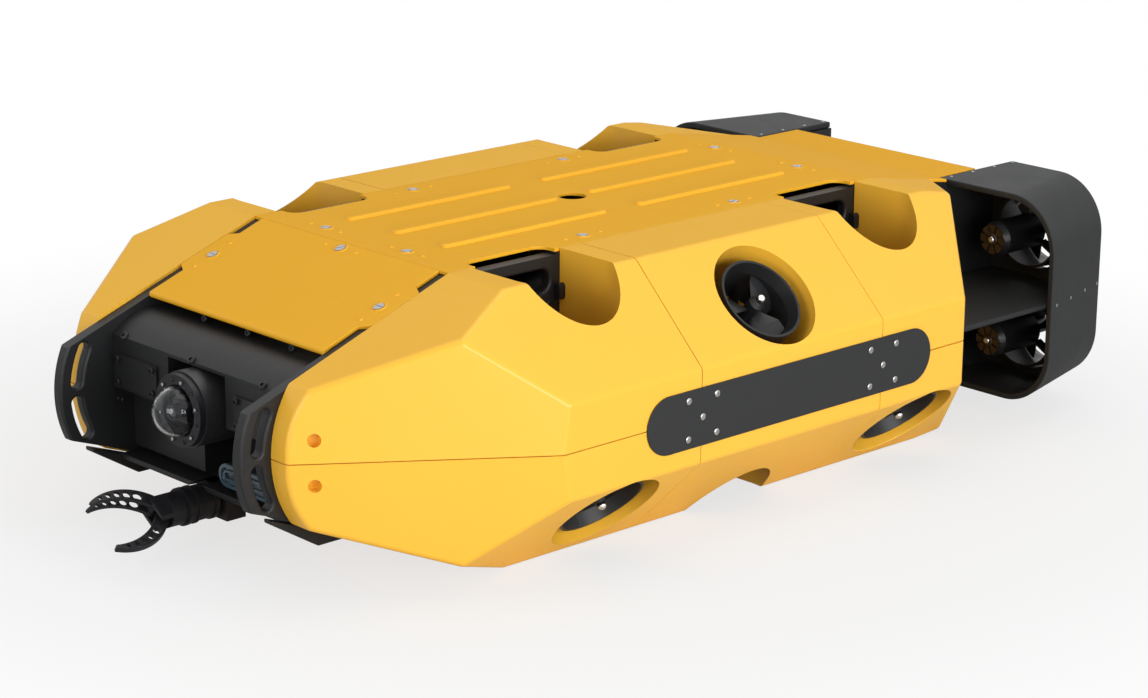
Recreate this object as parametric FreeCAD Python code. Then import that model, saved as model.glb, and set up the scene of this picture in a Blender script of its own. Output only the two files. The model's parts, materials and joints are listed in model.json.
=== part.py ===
import FreeCAD, Part
import math
import os

Vec = FreeCAD.Vector
Rot = FreeCAD.Rotation
Place = FreeCAD.Placement

# An underwater inspection vehicle in millimetres. The nose points along -Y, port is +X and up is +Z.
# The origin is the centre of the belly face, level with the middle pair of thrusters.

# ---- hull envelope ----
hull_height = 316.0        # flat belly to flat deck
crown_half = 261.0         # half width of the flat top and of the flat belly
side_half = 368.0          # half width over the vertical sides
chamfer_drop = 104.0       # height of the upper and of the lower side slope
deck_front = 344.0         # middle to the crease where the nose slope starts
deck_rear = 337.0          # middle to the crease where the tail slope starts
slope_run = 160.0          # length of the nose slope seen from above
slope_angle = 20.0
tail_run = 152.0           # length of the tail slope seen from above
tail_drop = 25.0
tail_length = 74.0         # flat tail panel
taper_start = 354.0        # side face ends and the bow taper starts
taper_lead = 1.40          # mm forward per mm inward on the bow taper
taper_tilt = 6.0           # degrees that each bow facet leans back from the split line
stern_start = 296.0        # side face ends and the stern taper starts
stern_lead = 0.84
nose_radius = 128.0        # rim of the bow bumper, about the nose centre
nose_ahead = 158.0         # nose centre ahead of the deck crease
fairing_nose_radius = 132.0
fairing_nose_back = 44.0   # centre of the fairing's nose curve, behind the nose centre
edge_soft = 9.0            # moulded radius on the fairing edges
seam_gap = 1.2
seam_half = 148.5          # cross seams each side of the middle

# ---- frame ----
plate_outer = 172.0        # outer face of each chassis plate
plate_thick = 15.0
plate_soft = 3.5           # rounded edges where hands and bumps reach the plates
panel_thick = 4.0
handle_width = 102.0
handle_height = 27.0
handle_bar = 14.0
handle_drop = 3.0          # bar sits this far under the deck
nose_slot_radius = 106.0
nose_slot_width = 14.0
window_width = 104.0
window_height = 120.0

# ---- deck, belly and side plates ----
rib_width = 13.0           # raised beads on the deck
rib_height = 3.5
rib_length = 252.0
rib_pitch = 84.0
rib_inset = 26.0           # end of the beads to the middle of the deck
deck_hole = 17.0           # radius of the lifting hole
notch_soft = 16.0          # corner radius of the deck notches
belly_hole = 4.25          # clearance radius of the accessory bolts
belly_spacing_x = 220.0
belly_spacing_y = 440.0
name_length = 466.0
name_height = 67.0
name_thick = 2.0
name_screw_pitch = 22.0    # corner screws to the middle screw of each group

# ---- pressure housing inside the frame ----
housing_tube = 78.0
housing_half = 190.0
housing_cap = 16.0         # thickness of each end cap
housing_cap_rim = 7.0      # cap past the tube

# ---- thrusters ----
thruster_pitch = 246.0     # spacing of the three thrusters along each side
bore_radius = 67.0
cutout_radius = 66.0
cutout_centre = 244.0      # centre of the round end of each cut-out
mouth_recess = 8.0
nozzle_mouth = 52.0
nozzle_length = 62.0
nozzle_wall = 3.0
throat_radius = 44.5
prop_radius = 43.0
hub_radius = 9.5
prop_depth = 25.0          # blade plane below the nozzle mouth
blade_count = 3
blade_pitch = 32.0         # degrees, mid blade
blade_thick = 2.4
nut_radius = 5.0
pod_radius = 22.0
pod_end = 130.0            # mouth to the far end of the motor
strut_count = 3

# ---- stern ducts ----
duct_front = 489.0
duct_length = 145.0
duct_side_front = 347.0
duct_side_rear = 309.0
duct_corner = 70.0
duct_wall = 8.0
duct_thruster_x = 241.0
duct_share = 0.6           # part of the free room in the duct that lies between shelf and nozzle
shelf_thick = 7.0
shelf_ahead = 118.0        # shelf reaches this far ahead of the duct at the chassis plate
shelf_edge = 336.0         # outer edge of the shelf at the front of the duct
mount_back = 52.0          # front of the thruster mounting plates ahead of the duct's back
mount_thick = 8.0

# ---- nose ----
shell_radius = 82.0
shell_face = 56.0          # flat face ahead of the nose centre
shell_back = 42.0          # back of the shell behind the nose centre
bay_back = 16.0            # back of the camera bay behind the nose centre
camera_rise = 11.0         # camera above the middle height
camera_bay_half = 52.0
housing_radius = 43.0
housing_ahead = 18.0       # front of the camera housing ahead of the shell's face
axle_ahead = 14.0          # tilt axle ahead of the shell's face
flange_radius = 41.0
dome_radius = 29.0
lip_front = 6.0            # thickness of the nose lip at its front and at its back
lip_back = 15.0
shoe_drop = 111.5          # flat under the bow shoes, below the middle height

# ---- gripper ----
arm_x = -12.0
arm_drop = 104.0           # arm below the middle height
arm_radius = 20.0
arm_front = 579.0
arm_length = 73.0
arm_step = 42.0            # length of the wide front part
arm_rear_radius = 16.0
saddle_length = 26.0
wrist_front = 598.0
jaw_pivot = 606.0
jaw_roll = 145.5           # degrees of the jaw plane about the arm
jaw_offset = 9.0
jaw_reach = 74.0
jaw_open = 31.0
jaw_plate = 4.0
jaw_core = 8.0
pin_radius = 3.0
pin_clearance = 0.05

mid_z = hull_height / 2
duct_room = mid_z - tail_drop - duct_wall - shelf_thick / 2 - 2 * nozzle_mouth
duct_thruster_rise = shelf_thick / 2 + nozzle_mouth + duct_share * duct_room
camera_height = mid_z + camera_rise
arm_z = mid_z - arm_drop
shoe_low = mid_z - shoe_drop
nose_y = -(deck_front + nose_ahead)
run_gap = 0.4              # small clearance between pieces that only lie beside each other
parts = {}


# ---- small helpers ----
def box(x0, x1, y0, y1, z0, z1):
    return Part.makeBox(x1 - x0, y1 - y0, z1 - z0, Vec(x0, y0, z0))


def rod(radius, length, start=Vec(0, 0, 0), along=Vec(0, 0, 1)):
    return Part.makeCylinder(radius, length, start, along)


def prism(points, thickness):
    """Closed polygon of 3-D points pushed along the vector thickness."""
    return Part.Face(Part.makePolygon(points + [points[0]])).extrude(thickness)


def slot_face(length, radius):
    """Stadium in the XY plane: straight part along X of the given length, centred."""
    h = length / 2
    right = Part.Arc(Vec(h, -radius, 0), Vec(h + radius, 0, 0), Vec(h, radius, 0)).toShape()
    left = Part.Arc(Vec(-h, radius, 0), Vec(-h - radius, 0, 0), Vec(-h, -radius, 0)).toShape()
    top = Part.makeLine(Vec(h, radius, 0), Vec(-h, radius, 0))
    low = Part.makeLine(Vec(-h, -radius, 0), Vec(h, -radius, 0))
    return Part.Face(Part.Wire([right, top, left, low]))


def round_plate(width, depth, radius, thick):
    """Plate in the XY plane with four rounded corners, centred, from z = 0 up."""
    plate = box(-width / 2, width / 2, -depth / 2, depth / 2, 0, thick)
    corners = [e for e in plate.Edges if abs(e.tangentAt(e.FirstParameter).z) > 0.9]
    return plate.makeFillet(radius, corners)


def trim(shape, point, normal):
    """Cut away what lies on the normal's side of a plane."""
    size = 3000.0
    block = Part.makeBox(size, size, size, Vec(-size / 2, -size / 2, 0))
    block.Placement = Place(point, Rot(Vec(0, 0, 1), normal))
    return shape.cut(block)


def fuse(shapes):
    out = shapes[0].multiFuse(shapes[1:]) if len(shapes) > 1 else shapes[0]
    return out.removeSplitter()


def flip_x(shape):
    return shape.mirror(Vec(0, 0, 0), Vec(1, 0, 0))


def flip_z(shape):
    return shape.mirror(Vec(0, 0, mid_z), Vec(0, 0, 1))


def put(shape, place):
    out = shape.copy()
    out.Placement = place.multiply(out.Placement)
    return out


def both(name, shape):
    parts["port_" + name] = shape
    parts["starboard_" + name] = flip_x(shape)


def pair(shape):
    """The port piece and its mirror image as one group."""
    return Part.Compound(shape.Solids + flip_x(shape).Solids)


# ---- the levels of the top surface ----
def top_at(y):
    """Height of the upper skin at a station along the hull."""
    if y < -deck_front:
        return hull_height + (y + deck_front) * math.tan(math.radians(slope_angle))
    if y > deck_rear + tail_run:
        return hull_height - tail_drop
    if y > deck_rear:
        return hull_height - tail_drop * (y - deck_rear) / tail_run
    return hull_height


def skin_outline(y_list, inset):
    """Side view polygon (y, z) of the hull, inset from the skin, front to back over the top and back."""
    top = [(y, top_at(y) - inset) for y in y_list]
    low = [(y, hull_height - top_at(y) + inset) for y in reversed(y_list)]
    return top + low


# ---- side fairings: solid buoyancy blocks with bores ----
def fairing_body():
    x_in = plate_outer + run_gap
    section = [Vec(x_in, -900, 0), Vec(crown_half, -900, 0), Vec(side_half, -900, chamfer_drop),
               Vec(side_half, -900, hull_height - chamfer_drop), Vec(crown_half, -900, hull_height),
               Vec(x_in, -900, hull_height)]
    body = prism(section, Vec(0, 1900, 0))
    lean = math.radians(slope_angle)
    tail = math.atan2(tail_drop, tail_run)
    for up, base in ((1, hull_height), (-1, 0)):
        body = trim(body, Vec(0, -deck_front, base), Vec(0, -math.sin(lean), up * math.cos(lean)))
        body = trim(body, Vec(0, deck_rear, base), Vec(0, math.sin(tail), up * math.cos(tail)))
        tilt = up * math.sin(math.radians(taper_tilt))
        bow = Vec(taper_lead, -1, tilt * math.hypot(taper_lead, 1)).normalize()
        body = trim(body, Vec(side_half, -taper_start, mid_z), bow)
    body = trim(body, Vec(side_half, stern_start, 0), Vec(stern_lead, 1, 0).normalize())
    centre_y = nose_y + fairing_nose_back
    nose = box(0, side_half, centre_y - 400, centre_y, -10, hull_height + 10)
    nose = nose.cut(rod(fairing_nose_radius, 2 * side_half, Vec(-10, centre_y, mid_z), Vec(1, 0, 0)))
    body = body.cut(nose)
    outer = [e for e in body.Edges if e.BoundBox.XMax > x_in + 1 and e.Length > 20]
    return body.makeFillet(edge_soft, outer)


def slope_frame(up):
    """Centre and outward normal of the side slope: up = 1 for the upper one, -1 for the lower one."""
    across = side_half - crown_half
    normal = Vec(chamfer_drop, 0, up * across).normalize()
    z = hull_height - chamfer_drop / 2 if up > 0 else chamfer_drop / 2
    return Vec((side_half + crown_half) / 2 + 5, 0, z - up * 5 * chamfer_drop / across), normal


def cutout(y, up):
    """Straight channel from the skin down to the split line, with a round outboard end."""
    run = cutout_centre - plate_outer + 20
    face = slot_face(2 * run, cutout_radius)
    deep = face.extrude(Vec(0, 0, mid_z + 10))
    start = mid_z if up > 0 else -10
    return deep.translate(Vec(cutout_centre - run, y, start))


def bore(y, up):
    centre, normal = slope_frame(up)
    start = centre + normal * 60
    return rod(bore_radius, 360, Vec(start.x, y, start.z), normal * -1)


def fairing_blocks():
    body = fairing_body()
    for y, up in ((-thruster_pitch, -1), (0, 1), (thruster_pitch, -1)):
        low_bore = bore(y, up)
        half = box(0, 500, -900, 900, mid_z, 400) if up > 0 else box(0, 500, -900, 900, -50, mid_z)
        body = body.cut(low_bore.common(half))
        body = body.cut(cutout(y, -up))
    g = seam_gap / 2
    spans = (("front", -900, -seam_half - g), ("mid", -seam_half + g, seam_half - g),
             ("rear", seam_half + g, 900))
    for where, y0, y1 in spans:
        both("fairing_" + where + "_upper", body.common(box(0, 500, y0, y1, mid_z + g, 500)))
        both("fairing_" + where + "_lower", body.common(box(0, 500, y0, y1, -50, mid_z - g)))


# ---- chassis plates ----
def arc_slot(radius, from_deg, to_deg, width):
    """Curved slot in the YZ plane about the nose centre, angles measured from -Y towards +Z."""
    r0, r1 = radius - width / 2, radius + width / 2

    def at(r, deg):
        a = math.radians(deg)
        return Vec(0, nose_y - r * math.cos(a), mid_z + r * math.sin(a))
    mean = (from_deg + to_deg) / 2
    cap = math.degrees(width / 2 / radius)
    edges = [Part.Arc(at(r1, from_deg), at(r1, mean), at(r1, to_deg)).toShape(),
             Part.Arc(at(r1, to_deg), at(radius, to_deg + cap), at(r0, to_deg)).toShape(),
             Part.Arc(at(r0, to_deg), at(r0, mean), at(r0, from_deg)).toShape(),
             Part.Arc(at(r0, from_deg), at(radius, from_deg - cap), at(r1, from_deg)).toShape()]
    return Part.Face(Part.Wire(edges))


def plate_window(y, z, width, height, radius):
    """Rounded window cutter through both sides of a chassis plate."""
    cutter = round_plate(height, width, radius, plate_thick + 20)
    return put(cutter, Place(Vec(plate_outer - plate_thick - 10, y, z), Rot(Vec(0, 1, 0), 90)))


def chassis_plate():
    stations = [nose_y - nose_radius - 2, -deck_front, deck_rear, deck_rear + tail_run, duct_front + duct_length]
    outline = [Vec(plate_outer - plate_thick, y, z) for y, z in skin_outline(stations, panel_thick + run_gap)]
    plate = prism(outline, Vec(plate_thick, 0, 0))
    ahead = box(0, 400, nose_y - 400, nose_y, -50, 400)
    rim = rod(nose_radius, 400, Vec(0, nose_y, mid_z), Vec(1, 0, 0))
    plate = plate.cut(ahead.cut(rim))
    for from_deg, to_deg in ((6.5, 27.5), (-27.5, -6.5)):
        slot = arc_slot(nose_slot_radius, from_deg, to_deg, nose_slot_width)
        plate = plate.cut(slot.extrude(Vec(400, 0, 0)))
    rounded = [e for e in plate.Edges
               if e.BoundBox.YMax < nose_y + 40 and e.BoundBox.XLength < 1 and e.Length > 20]
    plate = plate.makeFillet(plate_soft, rounded)
    for y in (-thruster_pitch, thruster_pitch):
        z = hull_height - panel_thick - handle_drop - handle_bar - handle_height / 2
        plate = plate.cut(plate_window(y, z, handle_width, handle_height, handle_height / 2 - 1))
        grip = [e for e in plate.Edges if e.BoundBox.XLength < 1 and abs(e.CenterOfMass.z - z) < handle_height
                and abs(e.CenterOfMass.y - y) < handle_width / 2 + 1]
        plate = plate.makeFillet(plate_soft, grip)
        relief = box(0, 400, y - cutout_radius + 4, y + cutout_radius - 4,
                     hull_height - panel_thick - handle_drop, 400)
        plate = plate.cut(relief)
    for y in (-thruster_pitch / 2, thruster_pitch / 2):
        plate = plate.cut(plate_window(y, mid_z, window_width, window_height, 22))
    step = tail_drop + duct_wall + run_gap
    plate = plate.cut(box(0, 400, duct_front - run_gap, 900, hull_height - step, 400))
    return plate.cut(box(0, 400, duct_front - run_gap, 900, -50, step))


# ---- skin panels between the chassis plates ----
def deck_notch(y, side):
    cutter = round_plate(52, 2 * cutout_radius - 14, notch_soft, 40)
    return cutter.translate(Vec(side * (plate_outer + 2), y, hull_height - 20))


def deck_panel():
    half = plate_outer - run_gap
    deck = box(-half, half, -deck_front, deck_rear, hull_height - panel_thick, hull_height)
    for y in (-thruster_pitch, thruster_pitch):
        for side in (1, -1):
            deck = deck.cut(deck_notch(y, side))
    deck = deck.cut(rod(deck_hole, 40, Vec(0, 0, hull_height - 20)))
    rib = slot_face(rib_length - rib_width, rib_width / 2).extrude(Vec(0, 0, rib_height + 1))
    top = [e for e in rib.Edges if e.BoundBox.ZMin > rib_height]
    rib = rib.makeChamfer(rib_height - 1.0, top)
    for y in (-rib_length / 2 - rib_inset, rib_length / 2 + rib_inset):
        for col in (-1, 0, 1):
            spot = Place(Vec(col * rib_pitch, y, hull_height - 1), Rot(Vec(0, 0, 1), 90))
            deck = deck.fuse(put(rib, spot))
    return deck.removeSplitter()


def slope_panel(lip):
    """Nose slope panel: narrow at its ends, with flanges over the chassis plates between them."""
    angle = math.radians(slope_angle)
    length = slope_run / math.cos(angle)
    narrow = plate_outer - plate_thick
    wide = plate_outer - run_gap
    points = [(narrow, 0), (narrow, -36), (wide, -44), (wide, -length + 56), (narrow, -length + 48),
              (narrow, -length)]
    ring = [Vec(x, y, 0) for x, y in points] + [Vec(-x, y, 0) for x, y in reversed(points)]
    panel = prism(ring, Vec(0, 0, -panel_thick))
    if lip:
        panel = panel.fuse(rod(panel_thick, 2 * narrow, Vec(-narrow, -length, -panel_thick), Vec(1, 0, 0)))
    place = Place(Vec(0, -deck_front, hull_height), Rot(Vec(1, 0, 0), slope_angle))
    return trim(put(panel.removeSplitter(), place), Vec(0, -deck_front - run_gap, 0), Vec(0, 1, 0))


def tail_slope_panel():
    half = plate_outer - run_gap
    y0, y1 = deck_rear + 0.5, deck_rear + tail_run - 0.5
    points = [Vec(-half, y0, top_at(y0)), Vec(-half, y1, top_at(y1)),
              Vec(-half, y1, top_at(y1) - panel_thick), Vec(-half, y0, top_at(y0) - panel_thick)]
    return prism(points, Vec(2 * half, 0, 0))


def tail_panel():
    half = plate_outer - plate_thick - 1
    y0 = deck_rear + tail_run + 0.5
    z1 = hull_height - tail_drop
    return box(-half, half, y0, y0 + tail_length, z1 - panel_thick, z1)


def belly_panel():
    half = plate_outer - run_gap
    belly = box(-half, half, -deck_front, deck_rear, 0, panel_thick)
    for x in (-belly_spacing_x / 2, belly_spacing_x / 2):
        for y in (-belly_spacing_y / 2, belly_spacing_y / 2):
            belly = belly.cut(rod(belly_hole, 40, Vec(x, y, -20)))
    return belly


def fastener(radius=6.5, height=1.2, slot=1.6):
    head = rod(radius, height)
    return head.cut(box(-radius, radius, -slot / 2, slot / 2, height - 0.8, height + 1))


def deck_fasteners():
    """Quarter-turn fasteners along both sides of the deck and on the nose slope."""
    side, inner = 149.0, 72.0
    spots = [(inner, -deck_front + 25), (side, -thruster_pitch / 2), (side, thruster_pitch / 2),
             (inner, deck_rear - 20)]
    heads = []
    for x, y in spots:
        for sign in (-1, 1):
            heads.append(put(fastener(), Place(Vec(sign * x, y, hull_height), Rot(Vec(0, 0, 1), 35))))
    tilt = Rot(Vec(1, 0, 0), slope_angle)
    for x, along in ((-side, 84), (side, 84), (0, 12)):
        down = tilt.multVec(Vec(x, -along, 0))
        heads.append(put(fastener(), Place(Vec(0, -deck_front, hull_height) + down, tilt)))
    return heads


# ---- nameplates on the vertical sides ----
def nameplate():
    face = slot_face(name_length - name_height, name_height / 2)
    plate = face.extrude(Vec(0, 0, name_thick))
    turn = Rot(Vec(0, 0, 1), Vec(1, 0, 0)).multiply(Rot(Vec(0, 0, 1), 90))
    return put(plate, Place(Vec(side_half, 0, mid_z), turn))


def nameplate_screws():
    heads = []
    for seam in (-seam_half, seam_half):
        for dy, dz in ((0, 0), (1, 1), (1, -1), (-1, 1), (-1, -1)):
            spot = Vec(side_half + name_thick, seam + dy * name_screw_pitch, mid_z + dz * name_screw_pitch)
            heads.append(Part.makeCone(3.8, 2.6, 1.2, spot, Vec(1, 0, 0)))
    return heads + [flip_x(h) for h in heads]


# ---- thrusters, in a local frame: mouth plane at z = 0, flow leaving along +Z ----
def nozzle_local():
    inner_end = throat_radius + 1.0
    profile = [Vec(nozzle_mouth, 0, 0), Vec(nozzle_mouth, 0, -6),
               Vec(inner_end + nozzle_wall, 0, -nozzle_length), Vec(inner_end, 0, -nozzle_length),
               Vec(throat_radius, 0, -prop_depth - 10), Vec(throat_radius, 0, -prop_depth + 10),
               Vec(nozzle_mouth - nozzle_wall, 0, 0)]
    face = Part.Face(Part.makePolygon(profile + [profile[0]]))
    ring = face.revolve(Vec(0, 0, 0), Vec(0, 0, 1), 360)
    struts = []
    for i in range(strut_count):
        vane = box(pod_radius - 3, inner_end + 1, -1.5, 1.5, -nozzle_length, -nozzle_length + 14)
        struts.append(put(vane, Place(Vec(0, 0, 0), Rot(Vec(0, 0, 1), 360 * i / strut_count + 30))))
    return fuse([ring] + struts).cut(rod(pod_radius + 0.02, nozzle_length, Vec(0, 0, -nozzle_length - 1)))


def motor_local():
    shoulder = -prop_depth - 18
    profile = [Vec(0, 0, shoulder), Vec(hub_radius, 0, shoulder), Vec(pod_radius, 0, shoulder - 10),
               Vec(pod_radius, 0, -pod_end + 8), Vec(pod_radius - 5, 0, -pod_end), Vec(0, 0, -pod_end)]
    pod = Part.Face(Part.makePolygon(profile + [profile[0]])).revolve(Vec(0, 0, 0), Vec(0, 0, 1), 360)
    for i in range(8):
        slit = box(9, pod_radius - 4, -1, 1, -pod_end - 1, -pod_end + 3)
        pod = pod.cut(put(slit, Place(Vec(0, 0, 0), Rot(Vec(0, 0, 1), 45 * i))))
    hexagon = Part.makePolygon([Vec(5 * math.cos(math.radians(60 * k)), 5 * math.sin(math.radians(60 * k)),
                                    -pod_end) for k in range(7)])
    return fuse([pod, Part.Face(hexagon).extrude(Vec(0, 0, -3))])


def blade_section(radius, chord, pitch_deg):
    """Lens-shaped blade section standing across the radius, as a closed wire of two arcs."""
    a = math.radians(pitch_deg)
    along = Vec(0, math.cos(a), math.sin(a))
    proud = Vec(0, -math.sin(a), math.cos(a))
    base = Vec(radius, 0, -prop_depth)
    start, end = base - along * (chord / 2), base + along * (chord / 2)
    back = base + proud * (blade_thick / 2 + chord * 0.06)
    front = base + proud * (-blade_thick / 2 + chord * 0.06)
    return Part.Wire([Part.Arc(start, back, end).toShape(), Part.Arc(end, front, start).toShape()])


def propeller_local():
    root = blade_section(hub_radius - 2, 18, blade_pitch + 16)
    middle = blade_section(0.58 * prop_radius, 46, blade_pitch)
    tip = blade_section(prop_radius + 2, 52, blade_pitch - 10)
    blade = Part.makeLoft([root, middle, tip], True, True)
    blade = blade.common(rod(prop_radius, 60, Vec(0, 0, -prop_depth - 30)))
    hub = rod(hub_radius, 30, Vec(0, 0, -prop_depth - 15))
    nose = Part.makeCone(hub_radius, nut_radius, 6, Vec(0, 0, -prop_depth + 15))
    nut = rod(nut_radius, 4, Vec(0, 0, -prop_depth + 20))
    cap = Part.makeCone(nut_radius, nut_radius / 2, 4, Vec(0, 0, -prop_depth + 24))
    blades = [put(blade, Place(Vec(0, 0, 0), Rot(Vec(0, 0, 1), 360 * i / blade_count)))
              for i in range(blade_count)]
    return fuse([hub, nose, nut, cap] + blades)


def thruster_places():
    """Name and placement of the five thrusters on the port side."""
    spots = []
    for name, y, up in (("front", -thruster_pitch, -1), ("mid", 0, 1), ("rear", thruster_pitch, -1)):
        centre, normal = slope_frame(up)
        mouth = Vec(centre.x, y, centre.z) - normal * mouth_recess
        spots.append((name, Place(mouth, Rot(Vec(0, 0, 1), normal))))
    for name, up in (("stern_upper", 1), ("stern_lower", -1)):
        mouth = Vec(duct_thruster_x, duct_front + duct_length - 4, mid_z + up * duct_thruster_rise)
        spots.append((name, Place(mouth, Rot(Vec(0, 0, 1), Vec(0, 1, 0)))))
    return spots


def motor_bracket(place):
    """Arm from a hull motor to the outer face of the chassis plate, with a bolted foot."""
    grip = place.multVec(Vec(0, 0, -pod_end + 24))
    arm = box(plate_outer + 3, grip.x, grip.y - 12, grip.y + 12, grip.z - 6, grip.z + 6)
    foot = box(plate_outer, plate_outer + 5, grip.y - 26, grip.y + 26, grip.z - 16, grip.z + 16)
    return fuse([arm, foot])


def thrusters():
    nozzle, motor, prop = nozzle_local(), motor_local(), propeller_local()
    nozzles, motors = [], []
    for name, place in thruster_places():
        both("propeller_" + name, put(prop, place))
        nozzles.append(put(nozzle, place))
        pod = put(motor, place)
        if not name.startswith("stern"):
            pod = fuse([pod, motor_bracket(place)])
        motors.append(pod)
    both("nozzles", Part.Compound(nozzles))
    both("motors", Part.Compound(motors))


# ---- stern ducts ----
def duct_wire(y, side, wall):
    """Closed D outline across the duct at a station: open side inboard, round outboard corners."""
    z1 = hull_height - tail_drop - wall
    z0 = hull_height - z1
    x0 = plate_outer - plate_thick + 2 - (60 if wall else 0)
    x1 = side - wall
    r = duct_corner - wall
    k = r * (1 - math.sqrt(0.5))
    edges = [Part.makeLine(Vec(x0, y, z0), Vec(x1 - r, y, z0)),
             Part.Arc(Vec(x1 - r, y, z0), Vec(x1 - k, y, z0 + k), Vec(x1, y, z0 + r)).toShape(),
             Part.makeLine(Vec(x1, y, z0 + r), Vec(x1, y, z1 - r)),
             Part.Arc(Vec(x1, y, z1 - r), Vec(x1 - k, y, z1 - k), Vec(x1 - r, y, z1)).toShape(),
             Part.makeLine(Vec(x1 - r, y, z1), Vec(x0, y, z1)),
             Part.makeLine(Vec(x0, y, z1), Vec(x0, y, z0))]
    return Part.Wire(edges)


def duct_loft(wall, margin=0.0):
    rate = (duct_side_rear - duct_side_front) / duct_length
    y0, y1 = duct_front - margin, duct_front + duct_length + margin
    return Part.makeLoft([duct_wire(y0, duct_side_front - rate * margin, wall),
                          duct_wire(y1, duct_side_rear + rate * margin, wall)], True, True)


def stern_ducts():
    outer = duct_loft(0)
    shell = outer.cut(duct_loft(duct_wall, 5.0))
    both("duct", shell)
    inside = duct_loft(duct_wall + run_gap)
    reach = box(plate_outer + run_gap, duct_side_front, duct_front - shelf_ahead, duct_front + duct_length,
                mid_z - shelf_thick / 2, mid_z + shelf_thick / 2)
    ahead = Part.Face(Part.makePolygon([
        Vec(plate_outer, duct_front - shelf_ahead, 0), Vec(plate_outer, duct_front, 0),
        Vec(shelf_edge, duct_front, 0), Vec(plate_outer, duct_front - shelf_ahead, 0)]))
    ahead = ahead.extrude(Vec(0, 0, hull_height))
    ahead = trim(ahead, Vec(side_half, stern_start + 1.0, 0), Vec(-stern_lead, -1, 0))
    parts["duct_shelves"] = pair(fuse([reach.common(inside), reach.common(ahead)]))
    y1 = duct_front + duct_length
    plate = inside.common(box(plate_outer + run_gap, side_half, y1 - mount_back, y1 - mount_back + mount_thick,
                              0, hull_height))
    plate = plate.cut(box(0, 400, 0, 900, mid_z - shelf_thick / 2 - run_gap, mid_z + shelf_thick / 2 + run_gap))
    for up in (-1, 1):
        hole = rod(nozzle_mouth, 40, Vec(duct_thruster_x, y1 - 70, mid_z + up * duct_thruster_rise),
                   Vec(0, 1, 0))
        plate = plate.cut(hole)
    parts["thruster_plates"] = pair(plate)


# ---- nose shell, camera and lights ----
def nose_shell():
    half = plate_outer - plate_thick - run_gap
    barrel = rod(shell_radius, 2 * half, Vec(-half, nose_y, mid_z), Vec(1, 0, 0))
    tail = box(-half, half, nose_y, nose_y + shell_back, mid_z - shell_radius, mid_z + shell_radius)
    shell = fuse([barrel, tail]).common(box(-half, half, nose_y - shell_face, nose_y + shell_back,
                                           0, hull_height))
    face_y = nose_y - shell_face
    bay_top = camera_height + housing_radius + 2
    shell = shell.cut(box(-camera_bay_half, camera_bay_half, face_y - 10, nose_y + bay_back, mid_z - 2, bay_top))
    shell = shell.cut(box(-half - 1, half + 1, face_y - 60, face_y + 26, mid_z - 76, mid_z - 2))
    shell = shell.cut(box(-24, half - 8, face_y - 60, nose_y + bay_back, mid_z - 76, mid_z - 2))
    return shell.cut(rod(housing_radius + 1, 80, Vec(0, nose_y + bay_back - 80, camera_height), Vec(0, 1, 0)))


def nose_lip():
    half = plate_outer - plate_thick - run_gap
    face_y = nose_y - shell_face
    top = mid_z - shell_radius - run_gap
    floor = [Vec(-half, face_y + 6, top), Vec(-half, face_y + 6, top - lip_front),
             Vec(-half, nose_y + 30, top - lip_back), Vec(-half, nose_y + 30, top)]
    lip = prism(floor, Vec(2 * half, 0, 0))
    return lip.cut(rod(arm_radius + 3, 120, Vec(arm_x, face_y - 10, arm_z), Vec(0, 1, 0)))


def nose_covers():
    face_y = nose_y - shell_face
    covers = []
    for x0 in (-148, 71):
        plate = box(x0, x0 + 77, face_y - 3, face_y, mid_z + 3, mid_z + 40)
        for dx in (6, 71):
            for z in (mid_z + 8, mid_z + 35):
                plate = plate.fuse(rod(3.2, 2, Vec(x0 + dx, face_y - 3, z), Vec(0, -1, 0)))
        covers.append(plate)
    return covers


def camera_housing():
    front = nose_y - shell_face - housing_ahead
    length = nose_y + bay_back - front
    body = rod(housing_radius, length - 14, Vec(0, front, camera_height), Vec(0, 1, 0))
    back = Part.makeCone(housing_radius, housing_radius - 14, 14, Vec(0, front + length - 14, camera_height),
                         Vec(0, 1, 0))
    body = body.fuse(back)
    well = rod(dome_radius - 3, 44, Vec(0, front - 1, camera_height), Vec(0, 1, 0))
    return fuse([body.cut(well)] + camera_yoke())


def camera_flange():
    front = nose_y - shell_face - housing_ahead
    ring = rod(flange_radius, 8, Vec(0, front - 8, camera_height), Vec(0, 1, 0))
    ring = ring.cut(rod(dome_radius + 0.3, 20, Vec(0, front - 15, camera_height), Vec(0, 1, 0)))
    heads = []
    for i in range(12):
        a = math.radians(30 * i + 15)
        spot = Vec(35 * math.cos(a), front - 8, camera_height + 35 * math.sin(a))
        heads.append(rod(2.4, 1.6, spot, Vec(0, -1, 0)))
    return fuse([ring] + heads)


def camera_dome():
    front = nose_y - shell_face - housing_ahead
    skin = rod(dome_radius, 8, Vec(0, front - 8, camera_height), Vec(0, 1, 0))
    cap = Part.makeSphere(dome_radius, Vec(0, front - 8, camera_height))
    cap = cap.cut(box(-50, 50, front - 8, front + 90, 0, 400))
    hollow = rod(dome_radius - 3, 20, Vec(0, front - 8, camera_height), Vec(0, 1, 0))
    hollow = hollow.fuse(Part.makeSphere(dome_radius - 3, Vec(0, front - 8, camera_height)))
    return fuse([skin, cap]).cut(hollow)


def camera_module():
    """Camera block on its tilt axle inside the dome."""
    centre = Vec(0, nose_y - shell_face - axle_ahead, camera_height)
    block = box(-13, 13, centre.y - 9, centre.y + 8, camera_height - 12, camera_height + 12)
    barrel = rod(9, 21, centre, Vec(0, -1, 0)).cut(rod(6.5, 3, centre - Vec(0, 21, 0), Vec(0, 1, 0)))
    axle = rod(2.5, 44, centre - Vec(22, 0, 0), Vec(1, 0, 0))
    return fuse([block, barrel, axle])


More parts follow.
